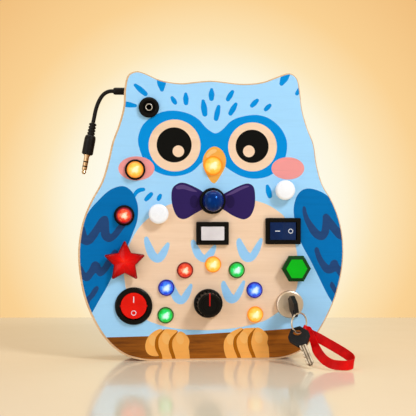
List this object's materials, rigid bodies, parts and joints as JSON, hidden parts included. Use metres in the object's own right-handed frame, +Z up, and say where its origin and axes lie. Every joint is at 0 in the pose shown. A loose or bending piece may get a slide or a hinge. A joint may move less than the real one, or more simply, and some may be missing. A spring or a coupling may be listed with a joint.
{
  "type": "wooden busy board",
  "caption": "Flat owl-shaped wooden activity board for a small child, with push buttons, rocker switches, lamps, a knob, a jack lead and a key lock on its front.",
  "frame": {"origin": "middle of the flat lower edge that the board stands on, halfway through the depth of the case", "axes": "+Z up, +X to the right of someone facing the printed side, the printed side faces -Y and the back faces +Y"},
  "size_m": [0.185, 0.086, 0.2],
  "materials": {
    "plywood": "smooth, clear-coated plywood; the front is printed",
    "frame_wood": "smooth, clear-coated",
    "zinc_steel": "zinc-plated",
    "black_plastic": "fine matt",
    "cell_jacket": "printed film",
    "spring_steel": "nickel-plated",
    "circuit_green": "solder mask",
    "wire_red": "satin",
    "lens_red": "clear tinted, gloss",
    "lens_amber": "clear tinted, gloss",
    "lens_green": "clear tinted, gloss",
    "lens_blue": "clear tinted, gloss",
    "emitter_clear": "clear",
    "navy_plastic": "gloss",
    "white_plastic": "satin",
    "red_plastic": "gloss",
    "green_plastic": "satin",
    "dark_green_plastic": "satin",
    "blue_plastic": "gloss",
    "red_line": "satin",
    "tinned_brass": "satin",
    "machined_steel": "turned",
    "lock_face": "brushed chrome",
    "key_steel": "nickel-plated",
    "ring_steel": "polished",
    "satin_ribbon": "woven satin",
    "cord_rubber": "matt",
    "gold_plate": "polished gold plate",
    "tray_plastic": "fine matt"
  },
  "bodies": {
    "board": {"front_panel": "plywood", "frame_ring": "frame_wood", "back_panel": "plywood", "case_screws": "zinc_steel", "battery_tray": "tray_plastic", "battery_cover": "tray_plastic", "cover_screw": "zinc_steel", "batteries": "cell_jacket", "battery_contacts": "spring_steel", "circuit_board": "circuit_green", "board_screws": "zinc_steel", "wire_loom": "wire_red", "belly_lens_red": "lens_red", "belly_lens_amber_top": "lens_amber", "belly_lens_green_right": "lens_green", "belly_lens_blue_left": "lens_blue", "belly_lens_blue_right": "lens_blue", "belly_lens_green_left": "lens_green", "belly_lens_amber_right": "lens_amber", "nose_lens": "lens_amber", "cheek_lens": "lens_amber", "wing_lens": "lens_red", "lamp_bezels": "black_plastic", "lens_clips": "black_plastic", "light_emitters": "emitter_clear", "ball_body": "black_plastic", "white_bodies": "white_plastic", "star_body": "red_plastic", "hex_body": "dark_green_plastic", "rect_body": "black_plastic", "button_nuts": "black_plastic", "round_housing": "black_plastic", "square_housing": "black_plastic", "switch_terminals": "tinned_brass", "pot_body": "machined_steel", "metal_nuts": "zinc_steel", "lock_body": "lock_face", "jack_socket": "black_plastic", "lead_sleeve": "cord_rubber", "lead_cord": "cord_rubber", "plug_body": "black_plastic", "plug_pin": "gold_plate"},
    "ball_button": {"ball_cap": "navy_plastic"},
    "left_white_button": {"left_white_cap": "white_plastic"},
    "right_white_button": {"right_white_cap": "white_plastic"},
    "star_button": {"star_cap": "red_plastic"},
    "hexagon_button": {"hex_cap": "green_plastic"},
    "rectangular_button": {"rect_cap": "white_plastic"},
    "round_rocker_lever": {"round_rocker": "red_plastic"},
    "square_rocker_lever": {"square_rocker": "blue_plastic"},
    "knob_and_shaft": {"knob": "black_plastic", "knob_pointer": "red_line", "pot_shaft": "machined_steel"},
    "lock_cylinder": {"lock_plug": "machined_steel"},
    "inserted_key": {"key_blade": "key_steel", "key_bow": "black_plastic"},
    "hanging_ring": {"key_ring": "ring_steel"},
    "spare_key": {"spare_blade": "key_steel", "spare_bow": "black_plastic"},
    "wrist_ribbon": {"ribbon": "satin_ribbon"}
  },
  "joints": [
    {"name": "ball_press", "type": "slide", "parent": "board", "child": "ball_button", "axis": [0, 1, 0], "range_m": [0, 0.0025], "stiffness_N_per_m": 600},
    {"name": "left_white_press", "type": "slide", "parent": "board", "child": "left_white_button", "axis": [0, 1, 0], "range_m": [0, 0.0025], "stiffness_N_per_m": 600},
    {"name": "right_white_press", "type": "slide", "parent": "board", "child": "right_white_button", "axis": [0, 1, 0], "range_m": [0, 0.0025], "stiffness_N_per_m": 600},
    {"name": "star_press", "type": "slide", "parent": "board", "child": "star_button", "axis": [0, 1, 0], "range_m": [0, 0.0025], "stiffness_N_per_m": 600},
    {"name": "hexagon_press", "type": "slide", "parent": "board", "child": "hexagon_button", "axis": [0, 1, 0], "range_m": [0, 0.0025], "stiffness_N_per_m": 600},
    {"name": "rectangular_press", "type": "slide", "parent": "board", "child": "rectangular_button", "axis": [0, 1, 0], "range_m": [0, 0.002], "stiffness_N_per_m": 600},
    {"name": "round_rocker_tilt", "type": "hinge", "parent": "board", "child": "round_rocker_lever", "pos_m": [-0.0545, -0.0158, 0.038], "axis": [1, 0, 0], "range_deg": [0, 18.8]},
    {"name": "square_rocker_tilt", "type": "hinge", "parent": "board", "child": "square_rocker_lever", "pos_m": [0.0495, -0.0158, 0.0895], "axis": [0, 0, 1], "range_deg": [0, 18.8]},
    {"name": "knob_turn", "type": "hinge", "parent": "board", "child": "knob_and_shaft", "pos_m": [-0.003, -0.015, 0.0395], "axis": [0, -1, 0], "range_deg": [-150, 150]},
    {"name": "key_turn", "type": "hinge", "parent": "board", "child": "lock_cylinder", "pos_m": [0.054, -0.015, 0.0385], "axis": [0, 1, 0], "range_deg": [0, 45]},
    {"name": "key_pull", "type": "slide", "parent": "lock_cylinder", "child": "inserted_key", "axis": [0, -1, 0], "range_m": [0, 0.012]},
    {"name": "ring_hang", "type": "hinge", "parent": "inserted_key", "child": "hanging_ring", "pos_m": [0.05459, -0.0395, 0.03434], "axis": [0, 1, 0], "range_deg": [-45, 0]},
    {"name": "spare_key_swing", "type": "hinge", "parent": "hanging_ring", "child": "spare_key", "pos_m": [0.05552, -0.03891, 0.02142], "axis": [-0.848, -0.53, 0], "range_deg": [0, 35]},
    {"name": "ribbon_swing", "type": "hinge", "parent": "hanging_ring", "child": "wrist_ribbon", "pos_m": [0.06161, -0.03511, 0.02417], "axis": [-0.4742, -0.2963, -0.829], "range_deg": [0, 20]}
  ],
  "couplings": [
    {"joint": "ring_hang", "follows": "key_turn", "ratio": -1}
  ]
}
